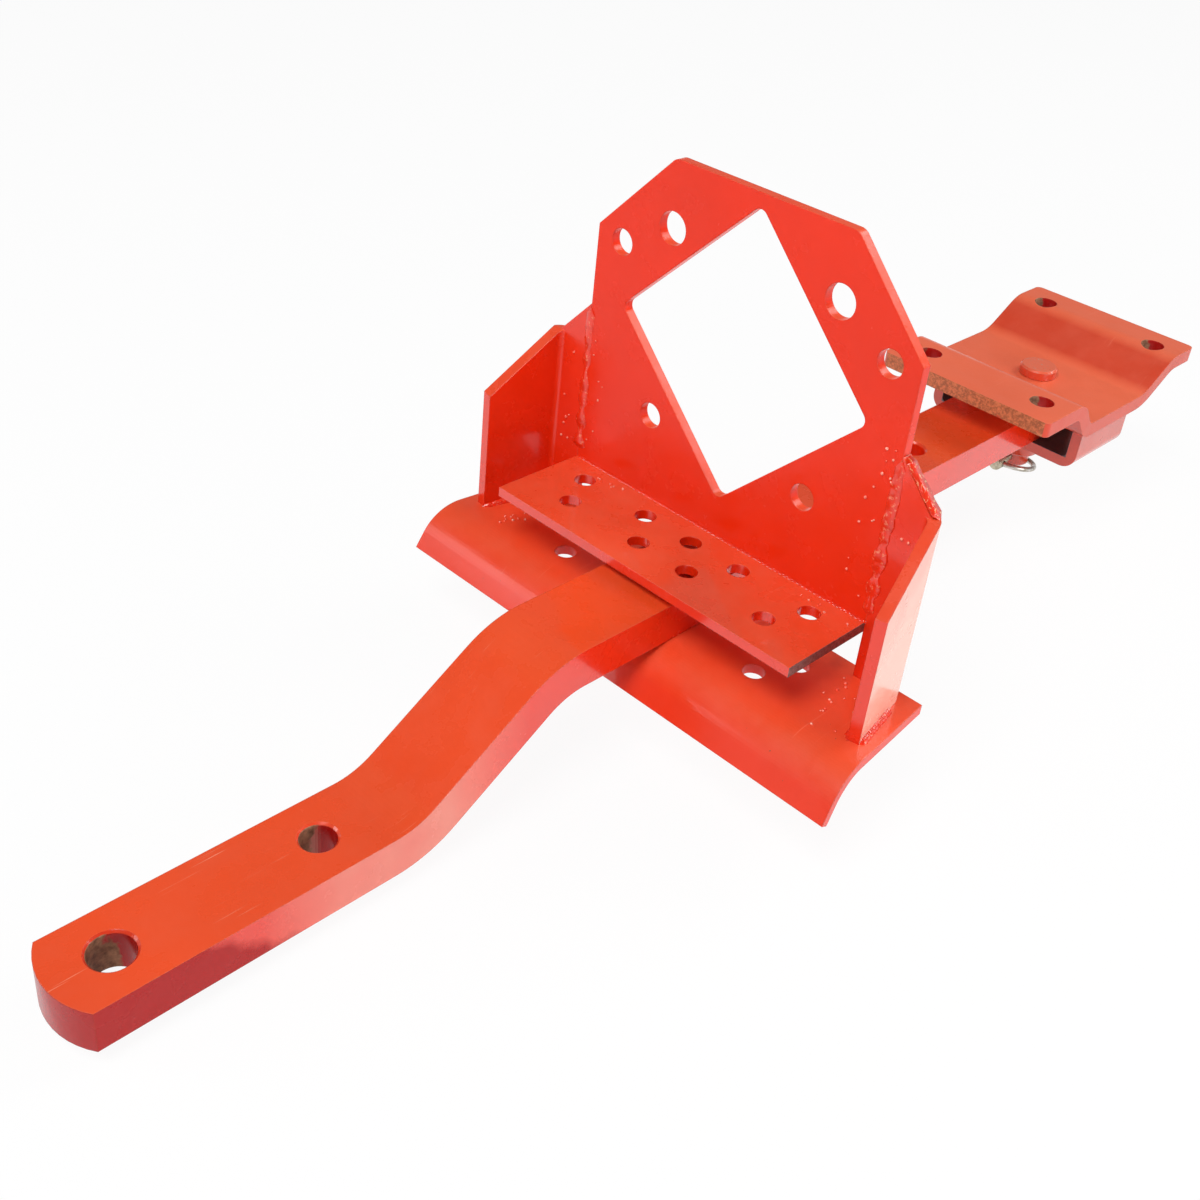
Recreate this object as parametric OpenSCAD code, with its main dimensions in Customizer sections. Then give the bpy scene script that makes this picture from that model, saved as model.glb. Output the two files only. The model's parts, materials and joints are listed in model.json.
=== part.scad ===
// Swinging drawbar for a compact tractor: a cranked flat bar on a pivot pin,
// the welded hanger that carries and guides it, and the front pivot bracket.
// Millimetres. The origin is the centre of the hitch pin hole, at half the
// thickness of the bar. +Y runs along the bar to the tractor, +Z is up.

/* [Drawbar] */
// Width of the bar
bar_w = 60; // [45:1:75]
// Thickness of the bar
bar_t = 28; // [22:1:36]
// Height that the crank lifts the bar
bar_drop = 68; // [55:1:80]
// Distance from the hitch hole to the foot of the crank
crank_y = 180; // [165:1:195]
// Length of the crank along the bar
crank_run = 105; // [90:1:112]
// Bend radius of the crank at the middle of the bar
crank_r = 66; // [50:1:80]
// Diameter of the hitch pin hole
hitch_d = 26; // [18:0.5:32]
// Distance from the hitch hole to the tip of the bar
tip_y = 37; // [28:1:50]
// Radius of the rounded tip, seen from above
tip_r = 50; // [42:1:90]
// Distance from the hitch hole to the second hole
second_y = 128; // [90:1:140]
// Diameter of the second hole and of the spare pivot hole
second_d = 22; // [14:0.5:30]
// Distance from the spare pivot hole to the pivot
spare_y = 182; // [120:1:190]
// Length of the bar past the pivot
tail_y = 40; // [30:1:55]
// Width of the bevel round each hole in the bar
hole_bevel = 1.5; // [0.5:0.1:2.5]

/* [Pivot pin] */
// Distance from the hitch hole to the pivot
pivot_y = 868; // [830:1:900]
// Diameter of the pivot pin
pin_d = 24; // [16:0.5:30]
// Radial clearance of the pin in its holes
pin_gap = 0.08; // [0.02:0.01:0.1]
// Diameter of the head of the pin
head_d = 31; // [31:0.5:40]
// Height of the head of the pin
head_h = 8; // [5:0.5:12]
// Length of the pin from the strap to the linch pin
pin_reach = 27; // [22:1:40]
// Length of the pin past the linch pin
pin_tail = 9; // [8:0.5:9.5]
// Width of the bevel round the head of the pin
pin_bevel = 1.5; // [0.5:0.1:2.5]

/* [Linch pin] */
// Diameter of the shank
shank_d = 7; // [5:0.5:8]
// Length of the shank past the pivot pin
shank_tip = 7; // [5:0.5:12]
// Distance from the pivot pin to the ring's eye
shank_neck = 16; // [14:0.5:20]
// Diameter of the head that carries the ring
eye_d = 12; // [10:0.5:14]
// Diameter of the wire of the ring
wire_d = 4.5; // [3:0.5:5]
// Radius of the ring at the middle of the wire
ring_r = 21.5; // [21:0.5:26]
// Angle that the ring hangs below the shank
ring_droop = 12; // [8:1:40]
// Radial clearance of the wire in its eye
wire_gap = 0.2; // [0.1:0.05:0.3]
// Radial clearance of the shank in the pivot pin
shank_gap = 0.1; // [0.05:0.01:0.3]

/* [Face plate] */
// Distance from the hitch hole to the face plate
hanger_y = 448; // [430:1:465]
// Thickness of the face plate, top plate and bottom plate
plate_t = 7; // [5:0.5:10]
// Width of the face plate
face_w = 257; // [240:1:280]
// Height of the face plate over the top plate
face_h = 236; // [225:1:260]
// Height of its upright sides over the top plate
side_h = 175; // [150:1:190]
// Width of its top edge
crown_w = 139; // [120:1:160]
// Radius of its crown corners
crown_r = 8; // [4:1:14]
// Half diagonal of the square window that stands on its corner
window_half = 101; // [90:1:105]
// Height of the centre of the window over the top plate
window_h = 127.5; // [118:0.5:132]
// Corner radius of the window
window_r = 6; // [3:0.5:10]
// Diameter of the four fixing holes
fix_d = 18; // [12:0.5:20]
// Diameter of the two dowel holes
dowel_d = 22; // [14:0.5:24]
// Half spacing of the upper fixing holes
fix_x = 107; // [102:0.5:112]
// Height of the upper fixing holes over the top plate
fix_h = 169; // [162:0.5:174]
// Half spacing of the dowel holes
dowel_x = 66; // [62:0.5:72]
// Height of the dowel holes over the top plate
dowel_h = 192; // [186:0.5:200]
// Half spacing of the lower fixing holes
low_x = 65.5; // [62:0.5:72]
// Height of the lower fixing holes over the top plate
low_h = 60; // [52:0.5:62]

/* [Top plate] */
// Depth of the top plate in front of the face plate
shelf_y = 75; // [66:1:90]
// Free height over the bar
head_room = 6; // [4:0.5:12]
// Diameter of the stop pin holes
stop_d = 15; // [10:0.5:17]
// Distance of the far row of holes from the face plate
far_row_y = 20; // [17:0.5:24]
// Distance of the near row of holes from the face plate
near_row_y = 48; // [44:0.5:54]
// Half spacing of the outer holes in the far row
far_out_x = 100; // [94:0.5:110]
// Half spacing of the inner holes in the far row
far_in_x = 41.5; // [36:0.5:50]
// Half spacing of the outer holes in the near row
near_out_x = 86; // [78:0.5:92]
// Half spacing of the inner holes in the near row
near_in_x = 21.5; // [16:0.5:28]

/* [Bottom plate] */
// Width of the bottom plate at its far edge
foot_w = 350; // [345:1:370]
// Depth of the bottom plate behind the front of the face plate
foot_back = 10; // [9:1:18]
// Depth of its flat part in front of the face plate
foot_flat = 62; // [60:1:72]
// Outer radius of the rolled lip
lip_r = 35; // [25:1:45]
// Angle of the rolled lip
lip_angle = 60; // [40:1:75]
// Straight length at the end of the lip
lip_end = 13; // [6:1:20]
// Angle that its ends spread towards the hitch
foot_spread = 6; // [2:0.5:7]
// Running gap between the bar and the plates that it slides on
slide_gap = 0.3; // [0.2:0.05:0.6]

/* [Side plates] */
// Thickness of the side plates
leg_t = 8; // [6:0.5:10]
// Width of the wing beside the face plate
wing_w = 33; // [28:0.5:38]
// Outer radius of the bend
leg_r = 12; // [11:0.5:16]
// Length of the side plate in front of the face plate
leg_y = 54; // [48:1:59]
// Angle that the side plates spread towards the hitch
leg_spread = 11; // [6:0.5:13]
// Height of the wing over the top plate at the face plate
wing_h = 118; // [110:1:126]
// Height of the side plate over the top plate at its bend
shoulder_h = 89; // [80:1:98]
// Height of the side plate over the top plate at its free edge
toe_h = 48; // [40:1:60]

/* [Front bracket] */
// Width of the front plate
front_w = 154; // [140:1:170]
// Thickness of the front plate
front_t = 12; // [8:0.5:14]
// Height of its two flanges over its middle
front_rise = 23; // [16:0.5:26]
// Distance from the pivot to the near edge
front_near = 122; // [114:1:126]
// Width of the near flange
near_flange = 55; // [50:1:58]
// Distance from the pivot to the far edge
front_far = 120; // [114:1:125]
// Width of the far flange
far_flange = 35; // [32:1:40]
// Length of the near step along the bar
near_step = 18; // [16:1:24]
// Length of the far step along the bar
far_step = 40; // [34:1:44]
// Corner radius of the front plate, seen from above
front_r = 5; // [2:0.5:9]
// Bend radius of the steps at the middle of the plate
step_r = 13; // [9:0.5:14]
// Diameter of the four fixing holes
bracket_d = 19; // [14:0.5:22]
// Half spacing of the fixing holes across the bracket
bracket_x = 52.5; // [45:0.5:58]
// Distance from the pivot to the near holes
bracket_near = 91; // [84:0.5:94]
// Distance from the pivot to the far holes
bracket_far = 92.5; // [90:0.5:96]

/* [Strap] */
// Thickness of the strap
strap_t = 9; // [6:0.5:12]
// Length of the strap along the bar
strap_y = 76; // [60:1:78]
// Distance of the strap from the side edges of the front plate
strap_in = 7; // [4:0.5:10]
// Outer corner radius of the strap
strap_r = 13; // [12:0.5:18]

/* [Weld beads] */
// Leg length of the fillet beads
bead_r = 5; // [3:0.5:6]
// Height of the beads on the butt joints
butt_h = 2; // [1:0.25:3]
// Width of the beads on the butt joints
butt_w = 9; // [6:0.5:12]

/* [Hidden] */
$fn = 96;
enamel = "orangered";
dull_enamel = "tomato";

// Largest angle between two facets of a bend
bend_step = 3.75;
// How far a cutting shape reaches past the face that it cuts
over = 1;

// Heights of the bar, counted from its middle at the hitch
bar_top = bar_drop + bar_t / 2;
bar_low = bar_drop - bar_t / 2;
foot_top = bar_low - slide_gap;
shelf_low = bar_top + head_room;
shelf_top = shelf_low + plate_t;
front_low = bar_top + slide_gap;
front_mid = front_low + front_t / 2;
strap_low = foot_top - strap_t;
face_far = hanger_y + plate_t;

// Heights along the pivot pin
head_low = front_low + front_t + slide_gap;
pin_bore_d = pin_d + 2 * pin_gap;
linch_z = strap_low - pin_reach;
eye_y = pivot_y - pin_d / 2 - shank_neck;

// Depth of the ring's curve inside its eye
ring_sag = ring_r - sqrt(ring_r * ring_r - eye_d * eye_d / 4);

// Half width of the face plate with its two wings
wing_x = face_w / 2 + wing_w;

function unit(a) = [cos(a), sin(a)];
function heading(p, q) = atan2(q[1] - p[1], q[0] - p[0]);
function turn(p, i) =
    let (d = heading(p[i], p[i + 1]) - heading(p[i - 1], p[i]))
    d > 180 ? d - 360 : d < -180 ? d + 360 : d;

// Points of the bend at the corner i of a line, at the distance off to its left
function bend_points(p, i, r, off) =
    let (a = heading(p[i - 1], p[i]), way = sign(turn(p, i)), n = ceil(abs(turn(p, i)) / bend_step))
    let (from = p[i] - unit(a) * r * tan(abs(turn(p, i)) / 2), centre = from + unit(a + 90 * way) * r)
    [for (k = [0 : n]) centre + unit(a - 90 * way + turn(p, i) * k / n) * (r - way * off)];

// Points along one side of a bent line, with the radius r at its middle
function side_points(p, r, off) =
    let (last = len(p) - 1)
    concat([p[0] + unit(heading(p[0], p[1]) + 90) * off],
        [for (i = [1 : last - 1]) each bend_points(p, i, r, off)],
        [p[last] + unit(heading(p[last - 1], p[last]) + 90) * off]);

function backwards(points) = [for (i = [len(points) - 1 : -1 : 0]) points[i]];

// A section of thickness t bent to the radius r along the corners p
module bent_section(p, t, r) {
    polygon(concat(side_points(p, r, t / 2), backwards(side_points(p, r, -t / 2))));
}

// Outline from above of a plate with four rounded corners
function rounded_corners(x, y0, y1, r) =
    let (line = [[0, y0], [x, y0], [x, y1], [-x, y1], [-x, y0], [0, y0]])
    [for (i = [1 : 4]) each bend_points(line, i, r, 0)];

// Extrudes a side view, drawn in Y and Z, across the width w
module across(w) {
    rotate([90, 0, 90])
        linear_extrude(height = w, center = true)
            children();
}

// Extrudes a front view, drawn in X and Z, from y0 to y1
module along(y0, y1) {
    translate([0, y1, 0])
        rotate([90, 0, 0])
            linear_extrude(height = y1 - y0)
                children();
}

// A round hole through a level plate, bevelled by b at both faces
module bevelled_hole(d, low, high, b) {
    rotate_extrude()
        polygon([[0, low - over], [d / 2 + b + over, low - over], [d / 2, low + b], [d / 2, high - b],
            [d / 2 + b + over, high + over], [0, high + over]]);
}

module plain_hole(d, low, high) {
    translate([0, 0, low - over])
        cylinder(d = d, h = high - low + 2 * over);
}

// Outline of the bar from above, with its rounded ends
module bar_plan() {
    intersection() {
        translate([-bar_w / 2, -tip_y - over])
            square([bar_w, pivot_y + tail_y + tip_y + 2 * over]);
        union() {
            translate([0, tip_r - tip_y])
                circle(tip_r);
            translate([-bar_w, tip_r - tip_y])
                square([2 * bar_w, pivot_y + tail_y - 2 * tip_r + tip_y]);
            translate([0, pivot_y + tail_y - tip_r])
                circle(tip_r);
        }
    }
}

module drawbar() {
    side = [[-tip_y - over, 0], [crank_y, 0], [crank_y + crank_run, bar_drop],
        [pivot_y + tail_y + over, bar_drop]];
    color(enamel)
        difference() {
            intersection() {
                across(bar_w)
                    bent_section(side, bar_t, crank_r);
                translate([0, 0, -bar_t])
                    linear_extrude(height = bar_drop + 2 * bar_t)
                        bar_plan();
            }
            bevelled_hole(hitch_d, -bar_t / 2, bar_t / 2, hole_bevel);
            translate([0, second_y, 0])
                bevelled_hole(second_d, -bar_t / 2, bar_t / 2, hole_bevel);
            translate([0, pivot_y - spare_y, 0])
                bevelled_hole(second_d, bar_low, bar_top, hole_bevel);
            translate([0, pivot_y, 0])
                plain_hole(pin_bore_d, bar_low, bar_top);
        }
}

// Outline of the face plate, with its crown corners rounded
function face_points() =
    let (x = face_w / 2, line = [[x, 0], [x, side_h], [crown_w / 2, face_h], [-crown_w / 2, face_h], [-x, side_h],
        [-x, 0]])
    concat([line[0], line[1]], bend_points(line, 2, crown_r, 0), bend_points(line, 3, crown_r, 0),
        [line[4], line[5]]);

// The square window that stands on its corner
module window_outline() {
    reach = window_half - window_r * sqrt(2);
    rotate(45)
        union() {
            square([2 * reach / sqrt(2), 2 * (reach / sqrt(2) + window_r)], center = true);
            square([2 * (reach / sqrt(2) + window_r), 2 * reach / sqrt(2)], center = true);
            for (a = [45 : 90 : 315])
                translate(unit(a) * reach)
                    circle(window_r);
        }
}

module face_hole(x, h, d) {
    for (side = [-1, 1])
        translate([side * x, hanger_y - over, shelf_top + h])
            rotate([-90, 0, 0])
                cylinder(d = d, h = plate_t + 2 * over);
}

module face_plate() {
    color(enamel)
        difference() {
            along(hanger_y, face_far)
                translate([0, shelf_top])
                    difference() {
                        polygon(face_points());
                        translate([0, window_h])
                            window_outline();
                    }
            face_hole(fix_x, fix_h, fix_d);
            face_hole(dowel_x, dowel_h, dowel_d);
            face_hole(low_x, low_h, fix_d);
        }
}

// The two rows of stop pin holes that the top and bottom plates share
module stop_holes(low, high) {
    far_row = [-far_out_x, -far_in_x, 0, far_in_x, far_out_x];
    near_row = [-near_out_x, -near_in_x, near_in_x, near_out_x];
    for (x = far_row)
        translate([x, hanger_y - far_row_y, 0])
            plain_hole(stop_d, low, high);
    for (x = near_row)
        translate([x, hanger_y - near_row_y, 0])
            plain_hole(stop_d, low, high);
}

module top_plate() {
    color(enamel)
        difference() {
            translate([-face_w / 2, hanger_y - shelf_y, shelf_low])
                cube([face_w, shelf_y + plate_t, plate_t]);
            stop_holes(shelf_low, shelf_top);
        }
}

// Half width of the bottom plate at the distance y
function foot_half(y) = foot_w / 2 + (hanger_y + foot_back - y) * tan(foot_spread);

module bottom_plate() {
    mid_r = lip_r - plate_t / 2;
    corner_y = hanger_y - foot_flat - mid_r * tan(lip_angle / 2);
    mid_z = foot_top - plate_t / 2;
    run = mid_r * tan(lip_angle / 2) + lip_end;
    end = [corner_y, mid_z] + run * [-cos(lip_angle), -sin(lip_angle)];
    side = [[hanger_y + foot_back, mid_z], [corner_y, mid_z], end];
    near = end[0] - plate_t;
    far = hanger_y + foot_back + over;
    color(enamel)
        difference() {
            intersection() {
                across(2 * foot_half(near) + 2 * over)
                    bent_section(side, plate_t, mid_r);
                translate([0, 0, end[1] - plate_t])
                    linear_extrude(height = foot_top - end[1] + 2 * plate_t)
                        polygon([[-foot_half(near), near], [foot_half(near), near],
                            [foot_half(far), far], [-foot_half(far), far]]);
            }
            stop_holes(foot_top - plate_t, foot_top);
        }
}

// Middle line of a side plate from above: the wing, the bend and the leg
function leg_line() =
    let (corner = [wing_x - leg_t / 2, hanger_y + leg_t / 2])
    [[face_w / 2, corner[1]], corner,
        corner + (leg_y + leg_t / 2) / cos(leg_spread) * [sin(leg_spread), -cos(leg_spread)]];

module side_plate() {
    toe_y = leg_line()[2][1];
    color(enamel)
        intersection() {
            translate([0, 0, foot_top])
                linear_extrude(height = shelf_top + wing_h - foot_top)
                    bent_section(leg_line(), leg_t, leg_r - leg_t / 2);
            union() {
                across(2 * wing_x + leg_y)
                    polygon([[toe_y - leg_t, 0], [hanger_y, 0], [hanger_y, shelf_top + shoulder_h],
                        [toe_y, shelf_top + toe_h], [toe_y - leg_t, shelf_top + toe_h]]);
                along(hanger_y, hanger_y + 2 * leg_t)
                    polygon([[0, 0], [wing_x + leg_t, 0], [wing_x + leg_t, shelf_top + shoulder_h],
                        [wing_x - leg_r / 2, shelf_top + shoulder_h], [face_w / 2, shelf_top + wing_h],
                        [0, shelf_top + wing_h]]);
            }
        }
}

module left_side_plate() {
    mirror([1, 0, 0])
        side_plate();
}

module right_side_plate() {
    side_plate();
}

// A quarter round fillet bead, with its corner at the origin, along +Y
module fillet_bead(length) {
    rotate([-90, 0, 0])
        linear_extrude(height = length)
            intersection() {
                circle(bead_r);
                translate([0, -bead_r - over])
                    square(bead_r + over);
            }
}

// A low crowned bead on a flat butt joint, along +Z, standing out to -Y
module butt_bead(length) {
    r = (butt_w * butt_w / 4 + butt_h * butt_h) / (2 * butt_h);
    linear_extrude(height = length)
        intersection() {
            translate([0, r - butt_h])
                circle(r);
            translate([-butt_w, -butt_h - over])
                square([2 * butt_w, butt_h + over]);
        }
}

module weld_shelf() {
    color(enamel)
        translate([-face_w / 2, hanger_y, shelf_top])
            rotate([0, 0, -90])
                fillet_bead(face_w);
}

module wing_bead() {
    translate([face_w / 2, hanger_y, shelf_top + bead_r])
        butt_bead(wing_h - 2 * bead_r);
}

module weld_left_wing() {
    color(enamel)
        mirror([1, 0, 0])
            wing_bead();
}

module weld_right_wing() {
    color(enamel)
        wing_bead();
}

// The bead along the foot of a side plate, on its inner or outer face
module foot_bead(offset, way) {
    start = leg_line()[2] + unit(leg_spread) * offset;
    length = leg_y - leg_r;
    translate([start[0], start[1], foot_top])
        rotate([0, 0, leg_spread])
            scale([way, 1, 1])
                fillet_bead(length);
}

module weld_right_foot() {
    color(enamel)
        foot_bead(-leg_t / 2, -1);
}

module weld_left_foot() {
    color(enamel)
        mirror([1, 0, 0])
            foot_bead(-leg_t / 2, -1);
}

module weld_right_outer() {
    color(enamel)
        foot_bead(leg_t / 2, 1);
}

module weld_left_outer() {
    color(enamel)
        mirror([1, 0, 0])
            foot_bead(leg_t / 2, 1);
}

module front_plate() {
    near = pivot_y - front_near;
    far = pivot_y + front_far;
    high = front_mid + front_rise;
    side = [[near, high], [near + near_flange, high], [near + near_flange + near_step, front_mid],
        [far - far_flange - far_step, front_mid], [far - far_flange, high], [far, high]];
    color(dull_enamel)
        difference() {
            intersection() {
                across(front_w)
                    bent_section(side, front_t, step_r);
                translate([0, 0, front_low - over])
                    linear_extrude(height = front_rise + front_t + 2 * over)
                        polygon(rounded_corners(front_w / 2, near, far, front_r));
            }
            translate([0, pivot_y, 0])
                plain_hole(pin_bore_d, front_low, front_low + front_t);
            for (x = [-bracket_x, bracket_x])
                for (y = [pivot_y - bracket_near, pivot_y + bracket_far])
                    translate([x, y, 0])
                        plain_hole(bracket_d, high - front_t / 2, high + front_t / 2);
        }
}

module strap() {
    x = front_w / 2 - strap_in - strap_t / 2;
    z = strap_low + strap_t / 2;
    color(dull_enamel)
        difference() {
            along(pivot_y - strap_y / 2, pivot_y + strap_y / 2)
                bent_section([[-x, front_low], [-x, z], [x, z], [x, front_low]], strap_t, strap_r - strap_t / 2);
            translate([0, pivot_y, 0])
                plain_hole(pin_bore_d, strap_low, strap_low + strap_t);
        }
}

// The bead outside the corner between a strap leg and the front plate
module strap_bead() {
    translate([front_w / 2 - strap_in, pivot_y - strap_y / 2, front_low])
        mirror([0, 0, 1])
            fillet_bead(strap_y);
}

module weld_strap_right() {
    color(dull_enamel)
        strap_bead();
}

module weld_strap_left() {
    color(dull_enamel)
        mirror([1, 0, 0])
            strap_bead();
}

module pivot_pin() {
    low = linch_z - pin_tail;
    color(dull_enamel)
        difference() {
            translate([0, pivot_y, 0])
                rotate_extrude()
                    polygon([[0, low], [pin_d / 2 - 2 * pin_bevel, low], [pin_d / 2, low + 2 * pin_bevel],
                        [pin_d / 2, head_low], [head_d / 2, head_low],
                        [head_d / 2, head_low + head_h - pin_bevel],
                        [head_d / 2 - pin_bevel, head_low + head_h], [0, head_low + head_h]]);
            translate([0, pivot_y - pin_d, linch_z])
                rotate([-90, 0, 0])
                    cylinder(d = shank_d + 2 * shank_gap, h = 2 * pin_d);
        }
}

module linch_pin() {
    tip = pivot_y + pin_d / 2 + shank_tip;
    color("darkkhaki")
        difference() {
            translate([0, eye_y, linch_z])
                rotate([-90, 0, 0])
                    rotate_extrude()
                        polygon([[0, -eye_d / 2], [eye_d / 2 - 1, -eye_d / 2], [eye_d / 2, -eye_d / 2 + 1],
                            [eye_d / 2, eye_d / 2 - 1], [shank_d / 2, eye_d / 2], [shank_d / 2, tip - eye_y - 3],
                            [shank_d / 4, tip - eye_y], [0, tip - eye_y]]);
            translate([0, eye_y, linch_z])
                rotate([0, 90, 0])
                    cylinder(d = wire_d + ring_sag + 2 * wire_gap, h = 2 * eye_d, center = true);
        }
}

// The ring passes through the eye of the shank and lies round the pivot pin
module linch_ring() {
    color("silver")
        translate([0, eye_y, linch_z])
            rotate([-ring_droop, 0, 0])
                translate([0, ring_r - ring_sag / 2, 0])
                    rotate_extrude()
                        translate([ring_r, 0])
                            circle(d = wire_d);
}

drawbar();
face_plate();
top_plate();
bottom_plate();
left_side_plate();
right_side_plate();
weld_shelf();
weld_left_wing();
weld_right_wing();
weld_left_foot();
weld_right_foot();
weld_left_outer();
weld_right_outer();
front_plate();
strap();
weld_strap_left();
weld_strap_right();
pivot_pin();
linch_pin();
linch_ring();
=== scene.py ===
"""Looks of a tractor's swinging drawbar: red enamel over steel, worn edges, weld beads and spatter."""

import json
import math
import random

import bpy
import bmesh
from mathutils import Matrix, Vector, noise


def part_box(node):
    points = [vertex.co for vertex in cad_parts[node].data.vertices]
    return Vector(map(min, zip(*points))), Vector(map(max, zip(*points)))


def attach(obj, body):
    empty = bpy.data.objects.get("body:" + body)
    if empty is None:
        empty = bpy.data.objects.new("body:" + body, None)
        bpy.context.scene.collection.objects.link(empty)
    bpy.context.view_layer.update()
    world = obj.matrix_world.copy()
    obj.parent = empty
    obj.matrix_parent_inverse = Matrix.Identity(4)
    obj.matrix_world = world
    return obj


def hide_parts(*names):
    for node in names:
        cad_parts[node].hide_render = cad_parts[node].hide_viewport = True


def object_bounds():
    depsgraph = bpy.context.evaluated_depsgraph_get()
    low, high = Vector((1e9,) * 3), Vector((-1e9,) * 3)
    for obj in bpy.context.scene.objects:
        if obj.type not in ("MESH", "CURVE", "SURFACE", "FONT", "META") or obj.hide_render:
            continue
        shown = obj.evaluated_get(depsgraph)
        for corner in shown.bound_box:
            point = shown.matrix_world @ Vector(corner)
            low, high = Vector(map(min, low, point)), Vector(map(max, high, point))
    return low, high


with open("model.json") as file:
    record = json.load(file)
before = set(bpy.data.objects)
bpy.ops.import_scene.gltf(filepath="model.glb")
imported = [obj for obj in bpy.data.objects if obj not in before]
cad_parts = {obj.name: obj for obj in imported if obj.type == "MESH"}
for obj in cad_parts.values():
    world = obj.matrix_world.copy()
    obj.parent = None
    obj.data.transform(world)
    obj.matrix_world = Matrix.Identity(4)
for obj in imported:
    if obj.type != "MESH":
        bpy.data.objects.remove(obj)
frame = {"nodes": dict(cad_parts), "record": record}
cad_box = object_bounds()
nodes = frame["nodes"]
MM = 0.001

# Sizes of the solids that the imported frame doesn't name
HITCH_R = 13 * MM
SECOND_R = 11 * MM
STRAP_THICK = 9 * MM
FRONT_THICK = 12 * MM
FRONT_CORNER = 5 * MM
NEAR_FLANGE = 55 * MM
NEAR_STEP = 18 * MM
FAR_FLANGE = 35 * MM
FAR_STEP = 40 * MM
PIN_BORE = 12.08 * MM
WING_END = 14 * MM
WING_FALL = 29 * MM
FOOT_WELD_SLANT = 11.0

# Sizes of what stands in the scene alone
FRONT_BENDS = (14 * MM, 13 * MM, 42 * MM, 30 * MM)
BOSS_R = 18.5 * MM
BOSS_HIGH = 21.5 * MM
BOSS_ROUND = 1.6 * MM
BOSS_FILLET = 2.7 * MM
BEAD_SINK = 0.25 * MM
BEAD_PITCH = 3.6 * MM
CORNER_BEAD = (6.5 * MM, 3.0 * MM)
DROP_SMALL = 0.55 * MM
DROP_LARGE = 1.15 * MM
DROP_CLEAR = 1.5 * MM

# How finely shapes are drawn
AROUND_BEAD = 12
AROUND_HOLE = 64
CORNER_STEPS = 10
BEND_STEP = math.radians(2.0)
SHARP_ANGLE = math.radians(25)
CUT_MARGIN = 20 * MM

# How near a point counts as being on a face, and how wide an edge wears; on the enamel that width also carries
# a painted highlight
TOUCH = 0.3 * MM
ENAMEL_EDGE = 1.1 * MM
ZINC_EDGE = 0.5 * MM

# The painted reflection of the pale floor on the right-hand sides: where it starts and is full in height, and
# how far it fades along the part
REFLECTION_TOP = 0.31
REFLECTION_FULL = 0.19
REFLECTION_FADE = 0.06

# The side of the bar's and the bracket's holes that lost its paint
BARE_SIDE = (-0.75, -0.66)

# Camera: the photograph's viewing angle, fitted for a square frame
CAMERA_AT = Vector((0.5104, -0.2352, 0.6198))
CAMERA_AZIMUTH = 41.67
CAMERA_ELEVATION = 32.58
CAMERA_ROLL = -6.25
CAMERA_LENS = 44.76
CAMERA_SHIFT_Y = -0.0469
SENSOR = 36.0

# Light: at, aimed at, width, height and power of each lamp, and the world's grey from the horizon up
MIDDLE = (0.0, 0.40, 0.05)
LAMPS = {
    "key": ((0.4, -1.1, 2.4), MIDDLE, 1.3, 1.1, 55),
    "fill": ((-1.7, -1.75, 1.1), MIDDLE, 1.0, 1.0, 12),
    "back": ((0.8, 2.6, 2.0), MIDDLE, 1.6, 1.0, 30),
    "side": ((1.4, 0.75, 0.42), (0.1, 0.5, 0.0), 0.9, 0.6, 8),
}
WORLD_LOW = (0.95, 0.95, 0.95, 1.0)
WORLD_HIGH = (0.14, 0.14, 0.145, 1.0)
WORLD_TURN = 0.30

# Floor: how far it reaches, how far below the lowest point it lies, its colour, and how white it is seen
FLOOR_REACH = 30.0
FLOOR_GAP = 1.0 * MM
FLOOR_GREY = 0.90
FLOOR_SEEN = 0.93

# Colours, in linear light
HANGER_RED = (0.83, 0.027, 0.003)
# painted light: the same red paint, lighter and more orange, for faces that look up
HANGER_TOP_PAINTED_LIGHT = (0.86, 0.080, 0.024)
# painted shade: the dark red of the hole walls and of the bar's near end
PAINTED_SHADE_RED = (0.42, 0.004, 0.003)
# lighter than the paint, as painted light on the drops
DROP_RED_PAINTED_LIGHT = (0.90, 0.11, 0.06)
# painted light: the bar's red, lighter and more orange, for faces that look up
BAR_TOP_PAINTED_LIGHT = (0.84, 0.078, 0.016)
BRACKET_RED = (0.66, 0.060, 0.022)
# painted light: the bracket's red, much lighter, for faces that look up
BRACKET_TOP_PAINTED_LIGHT = (0.88, 0.150, 0.062)
DUST = (0.80, 0.17, 0.09)
# painted reflection: the pale floor seen in the right-hand sides, pink over the red
PAINTED_REFLECTION_PINK = (0.92, 0.51, 0.38)
BARE_STEEL = (0.44, 0.23, 0.13)
CUT_STEEL = (0.66, 0.20, 0.08)
SHORN_STEEL = (0.24, 0.17, 0.155)
BRIGHT_STEEL = (0.72, 0.64, 0.56)
RUST_BROWN = (0.16, 0.070, 0.035)
# painted shade: the near-black inner faces of the strap's channel
CHANNEL_PAINTED_SHADE = (0.065, 0.045, 0.045)
# scratches, and the lighter line on every edge, which is partly thin paint and partly a painted highlight
SCRATCH_AND_EDGE_HIGHLIGHT = (0.90, 0.30, 0.18)
# painted glints on the weld beads
WARM_GLINT = (0.95, 0.42, 0.22)
BRIGHT_GLINT = (0.95, 0.52, 0.26)
PALE_GLINT = (0.85, 0.34, 0.20)
# painted glints on the drops
DROP_PAINTED_GLINT = (0.95, 0.42, 0.30)
ZINC_YELLOW = (0.60, 0.55, 0.42)
ZINC_BROWN = (0.30, 0.25, 0.17)
ZINC_PALE = (0.75, 0.74, 0.70)
ZINC_RUBBED = (0.78, 0.76, 0.70)
RING_STEEL = (0.74, 0.73, 0.70)


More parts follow.
